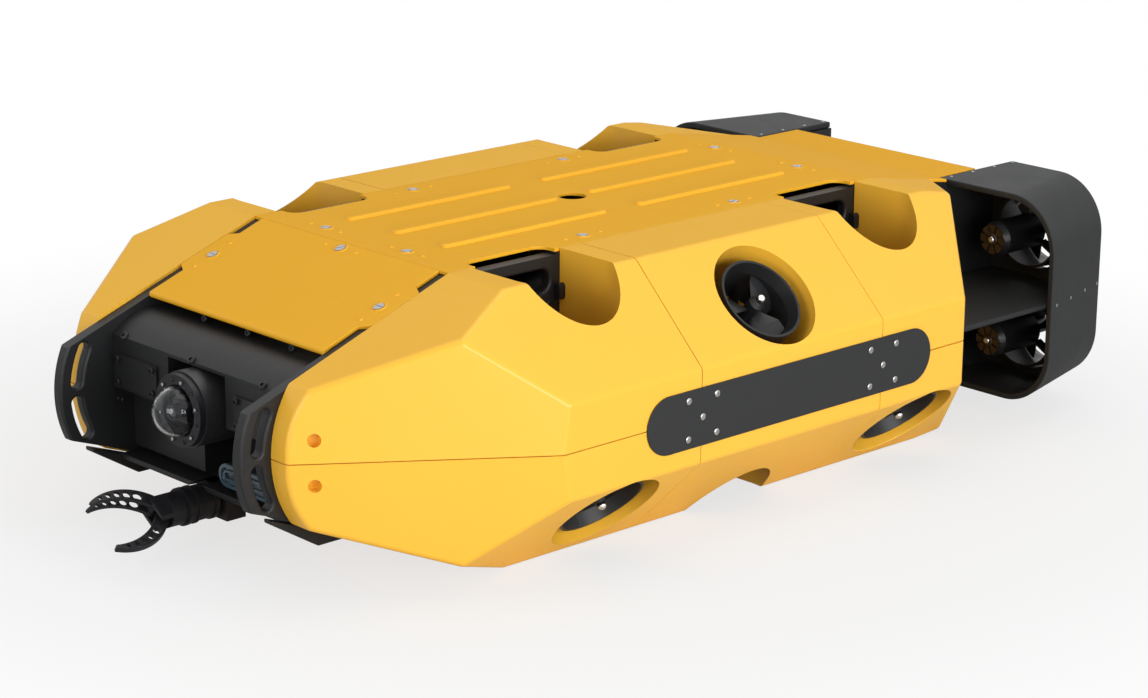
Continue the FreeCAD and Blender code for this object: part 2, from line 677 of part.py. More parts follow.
def camera_yoke():
    """Two ears on the housing's back wall that carry the camera's tilt axle."""
    y = nose_y - shell_face - axle_ahead
    ears = []
    for side in (-1, 1):
        x = side * 21.0
        ear = box(x - 1.5, x + 1.5, y - 5, y + 40, camera_height - 6, camera_height + 6)
        hole = rod(2.5 + pin_clearance, 60, Vec(-30, y, camera_height), Vec(1, 0, 0))
        ears.append(ear.cut(hole))
    return ears


def light_bar():
    length, height = 118.0, 27.0
    face = slot_face(length - height, height / 2)
    bar = face.extrude(Vec(0, 0, 30))
    rim = slot_face(length - height - 2, height / 2 - 4).extrude(Vec(0, 0, 4)).translate(Vec(0, 0, 28))
    turn = Rot(Vec(1, 0, 0), 90)
    return put(bar.cut(rim), Place(Vec(86, nose_y - shell_face + 38, mid_z - 60), turn))


def skid_block(x0, x1, inset):
    """Wedge under the bow: its top is the skin line plus the inset, its bottom is flat."""
    y0, y1 = nose_y - 88, nose_y - 26
    y2 = -deck_front - shoe_low / math.tan(math.radians(slope_angle))
    skin = hull_height - top_at(y0)
    side_view = [Vec(x0, y0, skin + inset), Vec(x0, y0, skin - 5), Vec(x0, y1, shoe_low),
                 Vec(x0, y2, shoe_low), Vec(x0, y2, shoe_low + inset)]
    return prism(side_view, Vec(x1 - x0, 0, 0))


def skid_shoes():
    """Wedge blocks bolted to the lower edges of the chassis plates at the bow."""
    inner = plate_outer - plate_thick
    seat = skid_block(inner, plate_outer, panel_thick + run_gap)
    skirt = skid_block(inner, plate_outer + 18, -run_gap)
    return pair(fuse([seat, skirt]))


# ---- gripper, in a local frame: the arm points along +X, the jaws open in the XY plane ----
def gripper_place():
    """Local X runs forward (-Y), local Y is the direction in which the upper jaw opens."""
    roll = math.radians(jaw_roll)
    opening = Vec(math.cos(roll), 0, math.sin(roll))
    forward = Vec(0, -1, 0)
    side = forward.cross(opening)
    return Place(Vec(arm_x, 0, arm_z), Rot(forward, opening, side, "XYZ"))


def gripper_arm():
    """Stepped tube: the wide front part holds the wrist drive, the rear part goes through the saddle."""
    front = rod(arm_radius, arm_step, Vec(arm_x, -arm_front, arm_z), Vec(0, 1, 0))
    rear = rod(arm_rear_radius, arm_length - arm_step, Vec(arm_x, arm_step - arm_front, arm_z), Vec(0, 1, 0))
    rings = [rod(arm_radius + 1.6, wide, Vec(arm_x, at - arm_front, arm_z), Vec(0, 1, 0))
             for at, wide in ((2, 5), (14, 3), (arm_step - 5, 5))]
    return fuse([front, rear] + rings)


def gripper_mount():
    """Saddle that hangs the arm from the nose lip."""
    y1 = arm_length - arm_front
    saddle = box(arm_x - 26, arm_x + 26, y1 - saddle_length, y1, arm_z - arm_rear_radius - 5, arm_z + 40)
    start = Vec(0, nose_y - shell_face + 6, mid_z - shell_radius - run_gap - lip_front)
    run = nose_y + 30 - start.y
    saddle = trim(saddle, start, Vec(0, lip_back - lip_front, run).normalize())
    return saddle.cut(rod(arm_rear_radius + 0.02, 90, Vec(arm_x, y1 - 80, arm_z), Vec(0, 1, 0)))


def gripper_wrist():
    place = gripper_place()
    drum = rod(arm_radius - 1, wrist_front - arm_front - 0.6, Vec(arm_front + 0.6, 0, 0), Vec(1, 0, 0))
    half = jaw_core / 2 + jaw_plate + 1.0
    ears = []
    for side in (-1, 1):
        z0 = half if side > 0 else -half - 4
        ear = box(wrist_front - 1, jaw_pivot + 8, -arm_radius, arm_radius, z0, z0 + 4)
        ears.append(ear.common(rod(arm_radius - 1, 60, Vec(wrist_front - 20, 0, 0), Vec(1, 0, 0))))
    pins = [rod(pin_radius, 2 * half + 6, Vec(jaw_pivot, y, -half - 3)) for y in (-jaw_offset, jaw_offset)]
    return put(fuse([drum] + ears + pins), place)


def jaw_points():
    """Outer and inner edge of a curved finger, three points each: pivot at (0, 0), tip out at jaw_reach."""
    tip = Vec(jaw_reach, jaw_open - jaw_offset, 0)
    outer = [Vec(-4, 7, 0), Vec(jaw_reach * 0.45, tip.y + 6.5, 0), tip]
    inner = [tip - Vec(1.5, 3.5, 0), Vec(jaw_reach * 0.5, tip.y - 6.0, 0), Vec(6, -6, 0)]
    return outer, inner


def arc_height(points, x):
    circle = Part.Circle(*points)
    return circle.Center.y + math.sqrt(circle.Radius ** 2 - (x - circle.Center.x) ** 2)


def jaw_plate_solid(z0, thick):
    outer, inner = jaw_points()
    edges = [Part.Arc(*outer).toShape(), Part.makeLine(outer[2], inner[0]), Part.Arc(*inner).toShape(),
             Part.Arc(inner[2], Vec(-6, -4.5, 0), outer[0]).toShape()]
    plate = Part.Face(Part.Wire(edges)).extrude(Vec(0, 0, thick)).translate(Vec(0, 0, z0))
    plate = plate.cut(rod(pin_radius + pin_clearance, 60, Vec(0, 0, -30)))
    for i in range(5):
        x = jaw_reach * (0.22 + 0.145 * i)
        high, low = arc_height(outer, x), arc_height(inner, x)
        plate = plate.cut(rod((high - low) * 0.29, 60, Vec(x, (high + low) / 2, -30)))
    return plate


def jaws():
    place = gripper_place()
    half = jaw_core / 2
    fork = [jaw_plate_solid(half + 0.3, jaw_plate), jaw_plate_solid(-half - 0.3 - jaw_plate, jaw_plate)]
    web = rod(7, jaw_core + 2, Vec(0, 0, -half - 1)).cut(rod(pin_radius + pin_clearance, 60, Vec(0, 0, -30)))
    upper = fuse(fork + [web])
    upper = put(upper, Place(Vec(jaw_pivot, jaw_offset, 0), Rot()))
    lower = jaw_plate_solid(-half, jaw_core).mirror(Vec(0, 0, 0), Vec(0, 1, 0))
    lower = put(lower, Place(Vec(jaw_pivot, -jaw_offset, 0), Rot()))
    parts["jaw_upper"] = put(upper, place)
    parts["jaw_lower"] = put(lower, place)


# ---- inside the frame ----
def electronics_housing():
    tube = rod(housing_tube, 2 * housing_half, Vec(0, -housing_half, mid_z), Vec(0, 1, 0))
    caps = [rod(housing_tube + housing_cap_rim, housing_cap, Vec(0, y, mid_z), Vec(0, 1, 0))
            for y in (-housing_half - housing_cap, housing_half)]
    return fuse([tube] + caps)


def cross_members():
    """Square bars that tie the two chassis plates together and cradle the pressure housing."""
    half = plate_outer - plate_thick
    bars = []
    for y in (-housing_half + 30, housing_half - 40):
        bar = box(-half, half, y, y + 24, mid_z - housing_tube - 24, mid_z - housing_tube + 6)
        bars.append(bar.cut(rod(housing_tube, 60, Vec(0, y - 10, mid_z), Vec(0, 1, 0))))
    bars.append(box(-half, half, -deck_front - 20, -deck_front, mid_z - 20, mid_z + 20))
    return bars


def rear_bulkhead():
    half = plate_outer - plate_thick
    y0 = deck_rear + tail_run + 30
    z1 = hull_height - tail_drop - panel_thick - run_gap
    wall = box(-half, half, y0, y0 + 10, hull_height - z1, z1)
    return wall.cut(rod(15, 40, Vec(0, y0 - 10, mid_z), Vec(0, 1, 0)))


def tether_socket():
    y0 = deck_rear + tail_run + 40
    flange = rod(26, 6, Vec(0, y0, mid_z), Vec(0, 1, 0))
    neck = rod(19, 26, Vec(0, y0, mid_z), Vec(0, 1, 0))
    shank = rod(14.5, 14, Vec(0, y0 - 12, mid_z), Vec(0, 1, 0))
    return fuse([flange, neck, shank]).cut(rod(11, 20, Vec(0, y0 + 6, mid_z), Vec(0, 1, 0)))


def build():
    fairing_blocks()
    both("chassis_plate", chassis_plate())
    parts["deck_panel"] = deck_panel()
    parts["nose_slope_panel"] = slope_panel(True)
    parts["tail_slope_panel"] = tail_slope_panel()
    parts["tail_panel"] = tail_panel()
    parts["belly_panel"] = belly_panel()
    parts["belly_nose_panel"] = flip_z(slope_panel(False))
    parts["belly_tail_panel"] = flip_z(tail_slope_panel())
    parts["deck_fasteners"] = Part.Compound(deck_fasteners())
    parts["nameplates"] = pair(nameplate())
    parts["nameplate_screws"] = Part.Compound(nameplate_screws())
    thrusters()
    stern_ducts()
    parts["nose_shell"] = nose_shell()
    parts["nose_lip"] = nose_lip()
    parts["nose_covers"] = Part.Compound(nose_covers())
    parts["camera_housing"] = camera_housing()
    parts["camera_flange"] = camera_flange()
    parts["camera_dome"] = camera_dome()
    parts["camera_module"] = camera_module()
    parts["light_bar"] = light_bar()
    parts["skid_shoes"] = skid_shoes()
    parts["gripper_mount"] = gripper_mount()
    parts["gripper_arm"] = gripper_arm()
    parts["gripper_wrist"] = gripper_wrist()
    jaws()
    parts["electronics_housing"] = electronics_housing()
    parts["cross_members"] = Part.Compound(cross_members())
    parts["rear_bulkhead"] = rear_bulkhead()
    parts["tether_socket"] = tether_socket()


build()
os.makedirs("parts", exist_ok=True)
for name, shape in parts.items():
    shape.exportStep("parts/" + name + ".step")
    print(name, len(shape.Solids), shape.isValid(), round(shape.Volume / 1000.0, 1))
print(len(parts), "nodes")
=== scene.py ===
import json
import math
import bmesh
import bpy
from mathutils import Matrix, Vector


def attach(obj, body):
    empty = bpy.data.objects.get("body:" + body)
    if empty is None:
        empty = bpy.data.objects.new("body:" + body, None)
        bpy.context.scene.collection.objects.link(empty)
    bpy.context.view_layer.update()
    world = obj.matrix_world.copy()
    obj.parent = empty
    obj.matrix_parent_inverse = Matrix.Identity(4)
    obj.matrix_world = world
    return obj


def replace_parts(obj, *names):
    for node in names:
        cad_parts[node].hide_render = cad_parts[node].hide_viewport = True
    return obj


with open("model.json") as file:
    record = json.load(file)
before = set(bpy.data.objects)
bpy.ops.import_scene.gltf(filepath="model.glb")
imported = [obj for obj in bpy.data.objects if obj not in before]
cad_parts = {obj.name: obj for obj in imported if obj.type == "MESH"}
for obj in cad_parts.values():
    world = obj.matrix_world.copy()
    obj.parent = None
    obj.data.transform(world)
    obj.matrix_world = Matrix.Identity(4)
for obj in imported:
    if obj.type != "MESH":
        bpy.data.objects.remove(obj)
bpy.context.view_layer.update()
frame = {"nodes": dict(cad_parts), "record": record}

# Underwater inspection vehicle: the nose points along -Y, port is +X, the belly is at z = 0.
# Fittings are set out in millimetres and made in metres. Lamps and camera are placed in metres.

MM = 0.001
nodes = frame["nodes"]
scene = bpy.context.scene
SIDES = (("port", 1.0), ("starboard", -1.0))

# ---- sizes of the solids that the fittings sit on, in millimetres ----
HEIGHT = 316.0           # flat belly to flat deck
MID_Z = HEIGHT / 2
CROWN_HALF = 261.0       # half width of the flat top
SIDE_HALF = 368.0        # half width over the vertical sides
CHAMFER = 104.0          # height of the upper and of the lower side slope
DECK_FRONT = 344.0       # middle to the crease where the nose slope starts
DECK_REAR = 337.0        # middle to the crease where the tail slope starts
SLOPE = math.radians(20.0)
TAIL_DROP = 25.0         # flat tail below the deck
SEAM_HALF = 148.5        # cross seams each side of the middle
PLATE_OUTER = 172.0      # outer face of the chassis plates
NAME_THICK = 2.0         # thickness of the bare side plates
NOSE_Y = -502.0          # centre of the nose drum
DRUM_RADIUS = 82.0
NOSE_FACE = 56.0         # flat nose face ahead of the drum's centre
CAMERA_AHEAD = 18.0      # front of the camera housing ahead of the nose face
CAMERA_Z = MID_Z + 11.0
DUCT_FRONT = 489.0
DUCT_BACK = 634.0
DUCT_SIDE_FRONT = 347.0  # outer face of the ducts at the front and at the back
DUCT_SIDE_BACK = 309.0
SHELF_THICK = 7.0
THRUSTER_PITCH = 246.0   # spacing of the three thrusters along each side
RECESS = 8.0             # nozzle mouth below the side slope
PROP_DEPTH = 25.0        # blades below the nozzle mouth
POD_END = 130.2          # mouth to just past the far end of the motor


# ---- shader groups ----
def new_group(name, inputs, outputs):
    group = bpy.data.node_groups.new(name, "ShaderNodeTree")
    for label, kind, value in inputs:
        socket = group.interface.new_socket(name=label, in_out="INPUT", socket_type=kind)
        socket.default_value = value
    for label, kind in outputs:
        group.interface.new_socket(name=label, in_out="OUTPUT", socket_type=kind)
    return group, group.nodes.new("NodeGroupInput"), group.nodes.new("NodeGroupOutput")


def add_node(tree, kind, settings=None, values=None):
    node = tree.nodes.new(kind)
    for key, value in (settings or {}).items():
        setattr(node, key, value)
    for key, value in (values or {}).items():
        node.inputs[key].default_value = value
    return node


def maths(tree, operation, a, b=0.0, clamp=False):
    """One Math node; a and b are numbers or sockets."""
    node = add_node(tree, "ShaderNodeMath", {"operation": operation, "use_clamp": clamp})
    for i, value in enumerate((a, b)):
        if isinstance(value, (int, float)):
            node.inputs[i].default_value = value
        else:
            tree.links.new(value, node.inputs[i])
    return node.outputs[0]


def noise(tree, coords, scale, detail=2.0, rough=0.5):
    node = add_node(tree, "ShaderNodeTexNoise", None, {"Detail": detail, "Roughness": rough})
    tree.links.new(coords, node.inputs["Vector"])
    if isinstance(scale, (int, float)):
        node.inputs["Scale"].default_value = scale
    else:
        tree.links.new(scale, node.inputs["Scale"])
    return node.outputs["Fac"]


def mixed(tree, amount, a, b):
    """Colour mix; amount is a number or a socket, a and b are colours or sockets."""
    node = add_node(tree, "ShaderNodeMix", {"data_type": "RGBA"})
    for i, value in ((0, amount), (6, a), (7, b)):
        if isinstance(value, (int, float)):
            node.inputs[i].default_value = value
        elif isinstance(value, tuple):
            node.inputs[i].default_value = (*value, 1.0)
        else:
            tree.links.new(value, node.inputs[i])
    return node.outputs[2]


def moulded_group():
    """Moulded skin: slow colour drift, fine grain, and a faint hand-rubbed change of gloss."""
    group, gin, gout = new_group(
        "moulded skin",
        [("Colour", "NodeSocketColor", (0.8, 0.8, 0.8, 1)),
         ("Shade", "NodeSocketColor", (0.6, 0.6, 0.6, 1)),
         ("Drift", "NodeSocketFloat", 0.3),
         ("Roughness", "NodeSocketFloat", 0.4),
         ("Gloss change", "NodeSocketFloat", 0.1),
         ("Grain size", "NodeSocketFloat", 900.0),
         ("Grain depth", "NodeSocketFloat", 0.1)],
        [("Colour", "NodeSocketColor"), ("Roughness", "NodeSocketFloat"), ("Normal", "NodeSocketVector")])
    place = add_node(group, "ShaderNodeTexCoord").outputs["Object"]
    slow = noise(group, place, 7.0, 3.0)
    amount = maths(group, "MULTIPLY", maths(group, "SUBTRACT", slow, 0.35, True), gin.outputs["Drift"])
    group.links.new(mixed(group, amount, gin.outputs["Colour"], gin.outputs["Shade"]), gout.inputs["Colour"])
    rubbed = maths(group, "SUBTRACT", noise(group, place, 28.0, 4.0, 0.6), 0.5)
    rubbed = maths(group, "MULTIPLY", rubbed, gin.outputs["Gloss change"])
    rough = maths(group, "ADD", gin.outputs["Roughness"], rubbed, True)
    group.links.new(rough, gout.inputs["Roughness"])
    bump = add_node(group, "ShaderNodeBump", None, {"Distance": 0.0004})
    group.links.new(noise(group, place, gin.outputs["Grain size"], 2.0), bump.inputs["Height"])
    group.links.new(gin.outputs["Grain depth"], bump.inputs["Strength"])
    group.links.new(bump.outputs["Normal"], gout.inputs["Normal"])
    return group


def worn_group():
    """Mask of fine scratches and rubbed patches, for metal and for handled plastic."""
    group, gin, gout = new_group(
        "handling marks", [("Amount", "NodeSocketFloat", 0.3), ("Size", "NodeSocketFloat", 60.0)],
        [("Mask", "NodeSocketFloat")])
    place = add_node(group, "ShaderNodeTexCoord").outputs["Object"]
    stretch = add_node(group, "ShaderNodeMapping", None,
                       {"Scale": (1.0, 14.0, 3.0), "Rotation": (0.3, 0.5, 0.2)})
    group.links.new(place, stretch.inputs["Vector"])
    lines = noise(group, stretch.outputs["Vector"], gin.outputs["Size"], 6.0, 0.65)
    fine = maths(group, "MULTIPLY", maths(group, "SUBTRACT", lines, 0.62, True), 9.0, True)
    patch = maths(group, "SUBTRACT", noise(group, place, 22.0, 3.0), 0.4, True)
    marks = maths(group, "MULTIPLY", fine, patch, True)
    strength = maths(group, "MULTIPLY", gin.outputs["Amount"], 4.0)
    mask = maths(group, "MULTIPLY", marks, strength, True)
    group.links.new(mask, gout.inputs["Mask"])
    return group


def hammered_group():
    """Shallow hammered pattern on faces that look up, on top of another normal."""
    group, gin, gout = new_group(
        "hammered top", [("Normal", "NodeSocketVector", (0, 0, 0)), ("Cell size", "NodeSocketFloat", 90.0),
                         ("Depth", "NodeSocketFloat", 0.3)],
        [("Normal", "NodeSocketVector"), ("Facing up", "NodeSocketFloat")])
    place = add_node(group, "ShaderNodeTexCoord").outputs["Object"]
    cells = add_node(group, "ShaderNodeTexVoronoi", {"feature": "SMOOTH_F1"}, {"Smoothness": 0.6})
    group.links.new(place, cells.inputs["Vector"])
    group.links.new(gin.outputs["Cell size"], cells.inputs["Scale"])
    facing = add_node(group, "ShaderNodeSeparateXYZ")
    group.links.new(add_node(group, "ShaderNodeNewGeometry").outputs["Normal"], facing.inputs[0])
    up = maths(group, "MULTIPLY", maths(group, "SUBTRACT", facing.outputs["Z"], 0.85, True), 8.0, True)
    group.links.new(up, gout.inputs["Facing up"])
    patch = maths(group, "SUBTRACT", noise(group, place, 3.1, 1.0), 0.42, True)
    patch = maths(group, "MULTIPLY", patch, 7.0, True)
    bump = add_node(group, "ShaderNodeBump", None, {"Distance": 0.0012})
    group.links.new(cells.outputs["Distance"], bump.inputs["Height"])
    strength = maths(group, "MULTIPLY", maths(group, "MULTIPLY", up, patch, True), gin.outputs["Depth"])
    group.links.new(strength, bump.inputs["Strength"])
    group.links.new(gin.outputs["Normal"], bump.inputs["Normal"])
    group.links.new(bump.outputs["Normal"], gout.inputs["Normal"])
    return group


MOULDED = moulded_group()
WORN = worn_group()
HAMMERED = hammered_group()


# ---- materials ----
def shell_material(name):
    material = bpy.data.materials.new(name)
    material.use_nodes = True
    tree = material.node_tree
    return material, tree, tree.nodes["Principled BSDF"]


def moulded(name, colour, shade, rough, drift=0.3, gloss_change=0.1, grain=900.0, grain_depth=0.1,
            coat=0.0, marks=0.0, mark_colour=(0.3, 0.3, 0.3), specular=0.5, metallic=0.0,
            hammered=0.0, matt_top=0.0):
    """Moulded, painted or anodised surface with grain, colour drift and handling marks."""
    material, tree, shader = shell_material(name)
    skin = add_node(tree, "ShaderNodeGroup", {"node_tree": MOULDED},
                    {"Colour": (*colour, 1), "Shade": (*shade, 1), "Drift": drift, "Roughness": rough,
                     "Gloss change": gloss_change, "Grain size": grain, "Grain depth": grain_depth})
    colour_out = skin.outputs["Colour"]
    if marks > 0:
        worn = add_node(tree, "ShaderNodeGroup", {"node_tree": WORN}, {"Amount": marks})
        colour_out = mixed(tree, worn.outputs["Mask"], colour_out, mark_colour)
    tree.links.new(colour_out, shader.inputs["Base Color"])
    rough_out = skin.outputs["Roughness"]
    normal = skin.outputs["Normal"]
    if hammered > 0:
        top = add_node(tree, "ShaderNodeGroup", {"node_tree": HAMMERED}, {"Depth": hammered})
        tree.links.new(normal, top.inputs["Normal"])
        normal = top.outputs["Normal"]
        matt = maths(tree, "MULTIPLY", top.outputs["Facing up"], matt_top)
        rough_out = maths(tree, "ADD", rough_out, matt, True)
    tree.links.new(rough_out, shader.inputs["Roughness"])
    tree.links.new(normal, shader.inputs["Normal"])
    shader.inputs["Coat Weight"].default_value = coat
    shader.inputs["Coat Roughness"].default_value = 0.12
    shader.inputs["Specular IOR Level"].default_value = specular
    shader.inputs["Metallic"].default_value = metallic
    return material


def bright_metal(name, colour, rough, marks=0.3):
    """Bare metal that darkens a little where it is scratched."""
    material, tree, shader = shell_material(name)
    scratched = tuple(c * 0.6 for c in colour)
    worn = add_node(tree, "ShaderNodeGroup", {"node_tree": WORN}, {"Amount": marks, "Size": 90.0})
    tree.links.new(mixed(tree, worn.outputs["Mask"], colour, scratched), shader.inputs["Base Color"])
    place = add_node(tree, "ShaderNodeTexCoord").outputs["Object"]
    change = maths(tree, "MULTIPLY", maths(tree, "SUBTRACT", noise(tree, place, 400.0, 4.0), 0.5), 0.2)
    tree.links.new(maths(tree, "ADD", change, rough, True), shader.inputs["Roughness"])
    shader.inputs["Metallic"].default_value = 1.0
    return material


def clear_dome(name, tint):
    """Clear moulding with faint smears; it bends light less than glass, like a thin shell."""
    material, tree, shader = shell_material(name)
    place = add_node(tree, "ShaderNodeTexCoord").outputs["Object"]
    smear = maths(tree, "SUBTRACT", noise(tree, place, 60.0, 3.0), 0.5, True)
    smear = maths(tree, "MULTIPLY", smear, 0.05)
    tree.links.new(maths(tree, "ADD", smear, 0.02, True), shader.inputs["Roughness"])
    shader.inputs["Base Color"].default_value = (*tint, 1)
    shader.inputs["Transmission Weight"].default_value = 1.0
    shader.inputs["IOR"].default_value = 1.3
    return material


FINISH = {
    "hull_yellow": moulded(
        "hull yellow", (0.90, 0.455, 0.018), (0.84, 0.40, 0.012), 0.4, drift=0.35, gloss_change=0.08,
        grain=700.0, grain_depth=0.05, marks=0.12, mark_colour=(0.70, 0.34, 0.02), specular=0.3,
        hammered=0.4, matt_top=0.4),
    "frame_black": moulded(
        "frame black", (0.010, 0.0105, 0.0115), (0.018, 0.019, 0.02), 0.45, drift=0.5, gloss_change=0.12,
        grain=1400.0, grain_depth=0.15, marks=0.2, mark_colour=(0.06, 0.06, 0.06), specular=0.35),
    "duct_black": moulded(
        "duct black", (0.013, 0.0138, 0.0145), (0.02, 0.021, 0.0225), 0.55, drift=0.5, gloss_change=0.12,
        grain=1100.0, grain_depth=0.35, marks=0.2, mark_colour=(0.08, 0.08, 0.08), specular=0.3),
    "nose_black": moulded(
        "nose black", (0.010, 0.0105, 0.011), (0.017, 0.0175, 0.0185), 0.45, drift=0.5, gloss_change=0.12,
        grain=1200.0, grain_depth=0.25, marks=0.15, mark_colour=(0.06, 0.06, 0.06), specular=0.35),
    "thruster_black": moulded(
        "thruster black", (0.010, 0.0105, 0.0115), (0.018, 0.018, 0.0195), 0.42, drift=0.4,
        grain_depth=0.06, marks=0.15, mark_colour=(0.06, 0.06, 0.06), specular=0.4),
    "anodised_black": moulded(
        "anodised black", (0.013, 0.013, 0.015), (0.021, 0.021, 0.024), 0.4, drift=0.5, gloss_change=0.12,
        grain=1600.0, marks=0.3, mark_colour=(0.12, 0.12, 0.12), specular=0.4, metallic=0.3),
    "plate_black": moulded(
        "plate black", (0.019, 0.02, 0.021), (0.026, 0.027, 0.028), 0.55, drift=0.4,
        grain=1500.0, grain_depth=0.2, marks=0.2, mark_colour=(0.07, 0.07, 0.07), specular=0.3),
    "stainless": bright_metal("stainless steel", (0.46, 0.455, 0.44), 0.36),
    "dome_clear": clear_dome("clear dome", (0.96, 0.98, 1.0)),
    "lens_clear": moulded(
        "lamp lens", (0.02, 0.035, 0.05), (0.03, 0.05, 0.07), 0.12, drift=0.4, gloss_change=0.05,
        grain=500.0, grain_depth=0.02, coat=0.6),
}
# Fairing yellow: paler than the hull's. This is partly the fairings' own tone and partly painted sheen that
# stands in for light reflected off their sides.
FAIRING_TONE_AND_SHEEN = moulded(
    "fairing yellow with painted sheen", (0.92, 0.50, 0.045), (0.87, 0.455, 0.03), 0.32, drift=0.35, gloss_change=0.08,
    grain=700.0, grain_depth=0.05, marks=0.12, mark_colour=(0.72, 0.38, 0.03), specular=0.42,
    hammered=0.4, matt_top=0.5)
CAST = moulded(
    "cast camera body", (0.016, 0.016, 0.018), (0.03, 0.03, 0.032), 0.42, drift=0.6, gloss_change=0.2,
    grain=620.0, grain_depth=0.9, marks=0.2, mark_colour=(0.09, 0.09, 0.09))
# End bell brown: partly the varnish's own colour and partly painted shade. It is darker than the varnish to
# stand in for the shade deep inside the thruster.
VARNISH_AND_PAINTED_SHADE = moulded(
    "brown varnish with painted shade", (0.024, 0.013, 0.006), (0.045, 0.024, 0.010), 0.4, drift=0.7,
    gloss_change=0.2, grain_depth=0.3, marks=0.2, mark_colour=(0.12, 0.07, 0.03), metallic=0.3)
RIM = moulded(
    "lamp rim", (0.03, 0.062, 0.085), (0.05, 0.10, 0.13), 0.25, drift=0.5, grain=600.0, coat=0.5)
LENS = moulded(
    "camera lens", (0.01, 0.012, 0.02), (0.03, 0.02, 0.05), 0.06, drift=0.6, gloss_change=0.03,
    grain=300.0, grain_depth=0.0, coat=1.0)
POLISHED = bright_metal("polished nut", (0.86, 0.86, 0.87), 0.12, 0.1)


def dress_cad():
    """Every solid gets its slot's finish, or its own for fairings (a paler yellow with painted sheen) and
    camera housing, and smooth faces.
    """
    slots = {s["node"]: s["material_slot"] for s in frame["record"]["subparts"]}
    for name, obj in nodes.items():
        obj.data.materials.clear()
        finish = FINISH[slots[name]]
        if "_fairing_" in name:
            finish = FAIRING_TONE_AND_SHEEN
        if name == "camera_housing":
            finish = CAST
        obj.data.materials.append(finish)
        for face in obj.data.polygons:
            face.use_smooth = True
        obj.data.set_sharp_from_angle(angle=math.radians(32))


dress_cad()


def softened(node, width, body="hull"):
    """The solid's own surface with its edges rounded over a width in millimetres, in its place."""
    source = nodes[node]
    bm = bmesh.new()
    bm.from_mesh(source.data)
    bmesh.ops.remove_doubles(bm, verts=bm.verts, dist=2e-6)
    bmesh.ops.dissolve_limit(bm, angle_limit=math.radians(0.4), verts=bm.verts, edges=bm.edges)
    mesh = bpy.data.meshes.new(node + "_skin")
    bm.to_mesh(mesh)
    bm.free()
    mesh.materials.append(source.data.materials[0])
    for face in mesh.polygons:
        face.use_smooth = True
    obj = bpy.data.objects.new(node + "_skin", mesh)
    scene.collection.objects.link(obj)
    edge = obj.modifiers.new("rounded edges", "BEVEL")
    edge.width = width * MM
    edge.segments = 2
    edge.limit_method = "ANGLE"
    edge.angle_limit = math.radians(38)
    edge.miter_outer = "MITER_ARC"
    even = obj.modifiers.new("even shading", "WEIGHTED_NORMAL")
    even.keep_sharp = True
    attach(obj, body)
    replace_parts(obj, node)
    return obj


SOFT_EDGES = {"deck_panel": 0.7, "nose_slope_panel": 1.2, "tail_slope_panel": 0.8, "tail_panel": 0.8,
              "nameplates": 0.7, "nose_shell": 1.0, "nose_lip": 1.2, "nose_covers": 0.7,
              "skid_shoes": 1.5, "thruster_plates": 0.6, "light_bar": 0.6, "gripper_mount": 1.5,
              "camera_flange": 0.5}
for side, _ in SIDES:
    for block in ("front_upper", "front_lower", "mid_lower", "rear_upper", "rear_lower"):
        SOFT_EDGES[f"{side}_fairing_{block}"] = 1.6
    SOFT_EDGES[side + "_duct"] = 1.8
    SOFT_EDGES[side + "_chassis_plate"] = 0.6
SKINS = {node: softened(node, width) for node, width in SOFT_EDGES.items()}
softened("jaw_upper", 0.5, body="upper_jaw")
softened("jaw_lower", 0.5, body="lower_jaw")
softened("gripper_wrist", 0.5, body="wrist")


# ---- thrusters ----
def thruster_places():
    """Side, name and frame of each thruster: local Z is the outlet direction, the origin is the mouth."""
    across = SIDE_HALF - CROWN_HALF
    shift = 5.0              # axis outboard of the middle of the slope
    stern_x = 241.0
    stern_y = 630.0
    stern_rise = 66.0
    spots = []
    for name, y, up in (("front", -THRUSTER_PITCH, -1), ("mid", 0.0, 1), ("rear", THRUSTER_PITCH, -1)):
        normal = Vector((CHAMFER, 0, up * across)).normalized()
        z = HEIGHT - CHAMFER / 2 if up > 0 else CHAMFER / 2
        centre = Vector(((SIDE_HALF + CROWN_HALF) / 2 + shift, y, z - up * shift * CHAMFER / across))
        spots.append((name, centre - normal * RECESS, normal))
    for name, up in (("stern_upper", 1), ("stern_lower", -1)):
        spots.append((name, Vector((stern_x, stern_y, MID_Z + up * stern_rise)), Vector((0, 1, 0))))
    out = []
    for side, sign in SIDES:
        for name, spot, normal in spots:
            mouth = Vector((sign * spot.x, spot.y, spot.z)) * MM
            way = Vector((sign * normal.x, normal.y, normal.z))
            turn = way.to_track_quat("Z", "Y").to_matrix().to_4x4()
            out.append((side, name, Matrix.Translation(mouth) @ turn))
    return out


# ---- mesh helpers: outlines and profiles in millimetres, frames in metres ----
def mesh_object(name, bm, material, body="hull", place=Matrix.Identity(4)):
    """Finished mesh as an object of the scene that rides on a body."""
    bmesh.ops.recalc_face_normals(bm, faces=bm.faces)
    mesh = bpy.data.meshes.new(name)
    bm.transform(place)
    if place.determinant() < 0:
        bmesh.ops.reverse_faces(bm, faces=bm.faces)
    bm.to_mesh(mesh)
    bm.free()
    obj = bpy.data.objects.new(name, mesh)
    scene.collection.objects.link(obj)
    mesh.materials.append(material)
    for face in mesh.polygons:
        face.use_smooth = True
    mesh.set_sharp_from_angle(angle=math.radians(35))
    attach(obj, body)
    return obj


